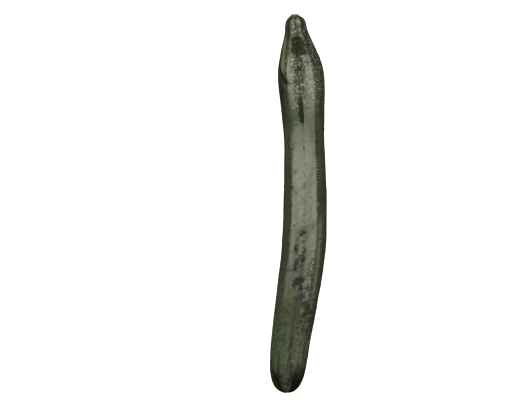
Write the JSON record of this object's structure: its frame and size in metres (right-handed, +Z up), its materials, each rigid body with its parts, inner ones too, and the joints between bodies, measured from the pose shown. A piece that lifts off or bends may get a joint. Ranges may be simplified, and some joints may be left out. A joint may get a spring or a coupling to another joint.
{
  "type": "cucumber",
  "caption": "Long seedless cucumber, gently bent, with a ribbed neck, a short cut stalk and a rounded blossom end, lying on its belly.",
  "frame": {"origin": "middle of the bounding box in X and Y, on the surface that the fruit lies on", "axes": "+Y along the fruit towards the stalk, +Z up, +X towards the side that the bend bulges to"},
  "size_m": [0.0498, 0.3304, 0.0402],
  "materials": {
    "skin": "dark grey-green waxy rind, satin sheen, paler along the ribs, mottled and finely pebbled",
    "stalk": "pale green fibrous stalk, cut square, with a dry ringed cut face",
    "scar": "dry corky brown scar where the blossom fell off"
  },
  "bodies": {
    "root": {"cucumber": "skin"}
  },
  "joints": []
}
